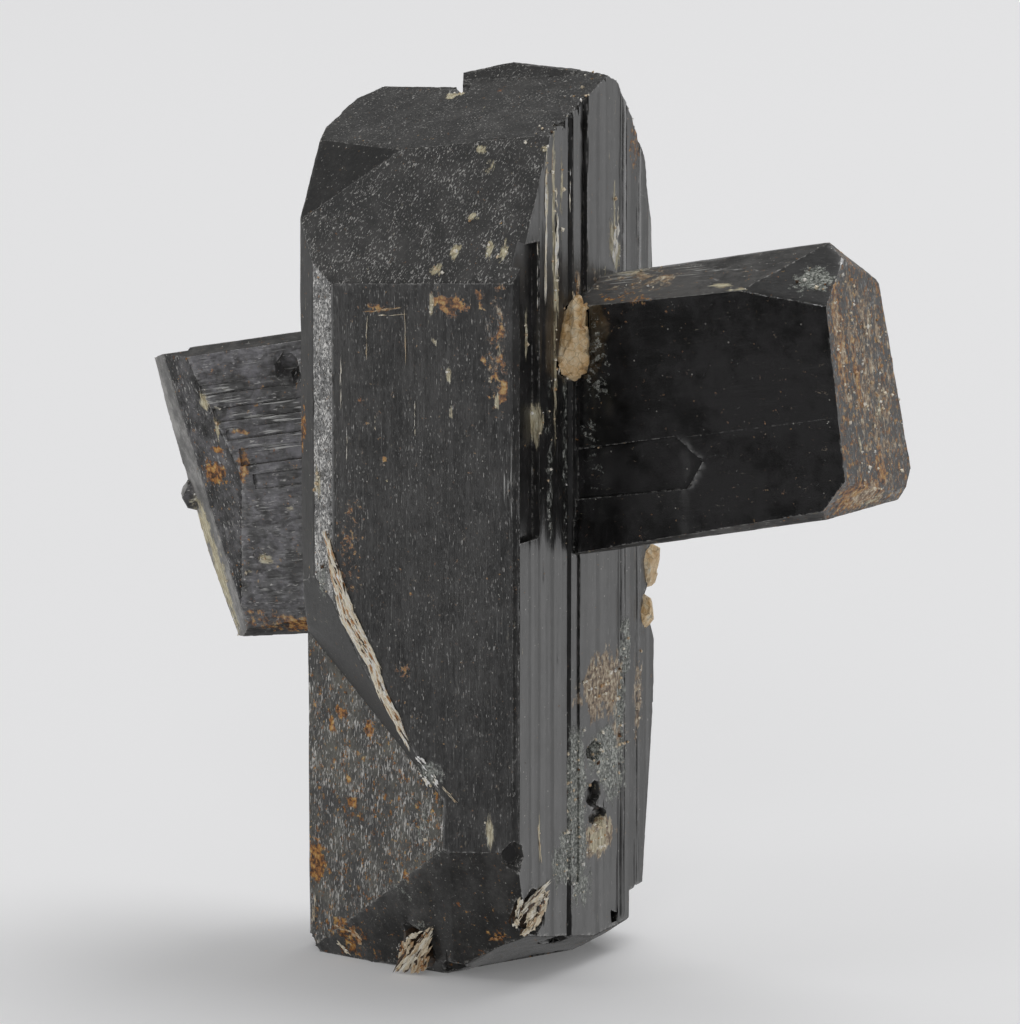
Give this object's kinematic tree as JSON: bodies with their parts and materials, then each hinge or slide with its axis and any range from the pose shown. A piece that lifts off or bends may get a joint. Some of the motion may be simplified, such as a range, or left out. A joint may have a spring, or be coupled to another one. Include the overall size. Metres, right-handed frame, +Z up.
{
  "type": "tantalite crystal specimen",
  "caption": "Upright striated black crystal with a second crystal grown through it as a cross, small tan grains in its angles, standing on a flat broken foot.",
  "frame": {"origin": "on the flat foot, on the axis of the upright crystal", "axes": "+Z up along the upright crystal, +X to the right across its front face along the cross crystal, +Y from the front face to the back"},
  "size_m": [0.0284, 0.0104, 0.0313],
  "materials": {
    "black_crystal": "black, glossy on smooth faces and etched dull on others",
    "tan_feldspar": "tan, dull to waxy cleavage grain",
    "brown_mica": "golden brown flaky mica with a pearly shine"
  },
  "bodies": {
    "root": {"crystal_cross": "black_crystal", "feldspar_grain": "tan_feldspar", "edge_grain_upper": "tan_feldspar", "edge_grain_lower": "tan_feldspar", "mica_flake_foot": "brown_mica", "mica_flake_corner": "brown_mica"}
  },
  "joints": []
}
